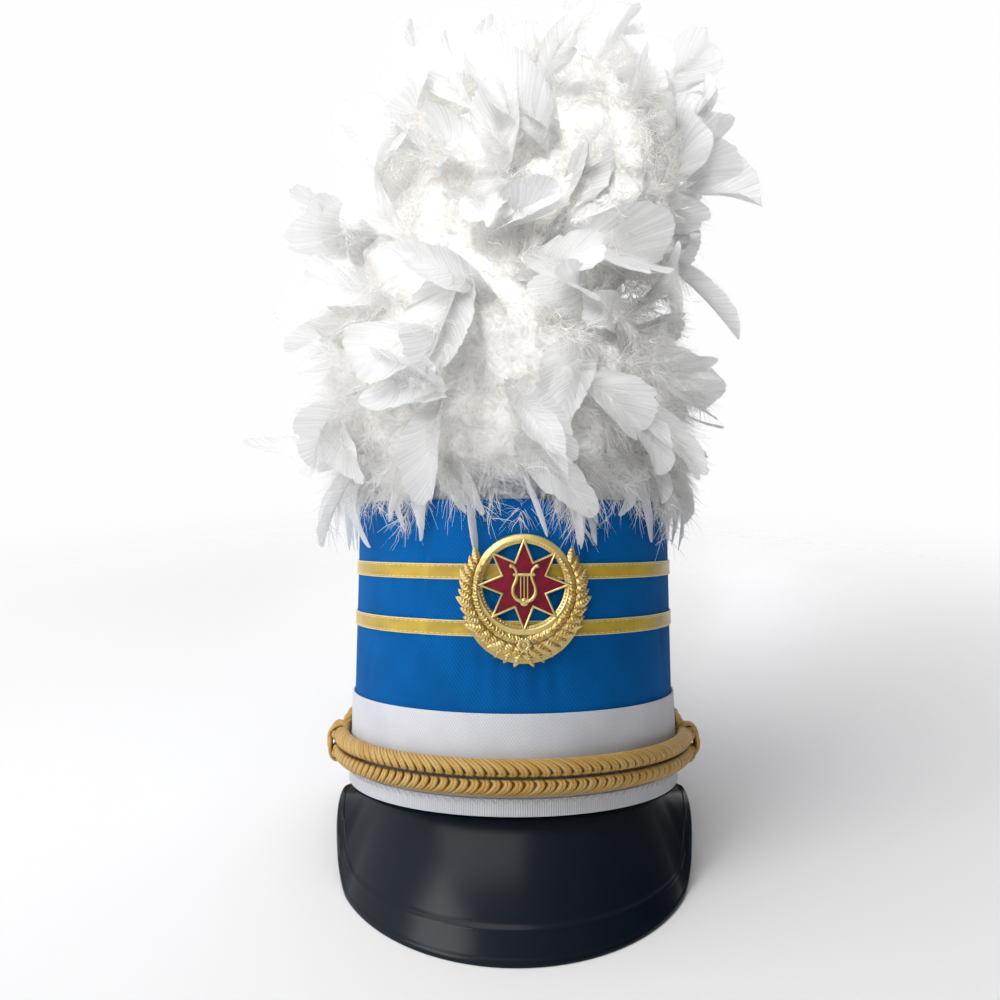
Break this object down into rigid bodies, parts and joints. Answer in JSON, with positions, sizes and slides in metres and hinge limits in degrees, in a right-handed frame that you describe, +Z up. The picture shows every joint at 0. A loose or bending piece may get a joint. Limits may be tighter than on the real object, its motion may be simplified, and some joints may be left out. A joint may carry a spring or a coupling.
{
  "type": "marching band hat",
  "caption": "Tall oval marching band hat with ribbon stripes, a white band, a glossy moulded peak, a plaited cap cord, a pierced badge and a white feather plume, resting on its peak and rim.",
  "frame": {"origin": "on the surface that the hat rests on, below the middle of its bounding box", "axes": "+Z up from the resting surface; the front with the peak faces -Y; the wearer's left is +X; the crown leans back by 12.6 degrees, towards +Y"},
  "size_m": [0.2926, 0.3342, 0.4327],
  "materials": {
    "blue_cloth": "royal blue polyester twill with a soft sheen",
    "white_cloth": "white cotton twill",
    "white_ribbon": "white ribbed grosgrain ribbon",
    "gold_ribbon": "yellow gold satin ribbon",
    "black_vinyl": "glossy blue-black moulded vinyl",
    "gold_cord": "gold rayon plaited cord",
    "gilt": "gilt die-cast metal",
    "red_enamel": "translucent dark red enamel",
    "feather": "white feathers"
  },
  "bodies": {
    "root": {"crown": "blue_cloth", "head_band": "white_cloth", "rim_ribbon": "white_ribbon", "stripe_lower": "gold_ribbon", "stripe_upper": "gold_ribbon", "peak": "black_vinyl", "cap_cord": "gold_cord", "cord_slide_left": "gold_cord", "cord_slide_right": "gold_cord", "side_button_left": "gilt", "side_button_right": "gilt", "badge": "gilt", "badge_enamel": "red_enamel", "badge_post": "gilt", "plume": "feather"}
  },
  "joints": []
}
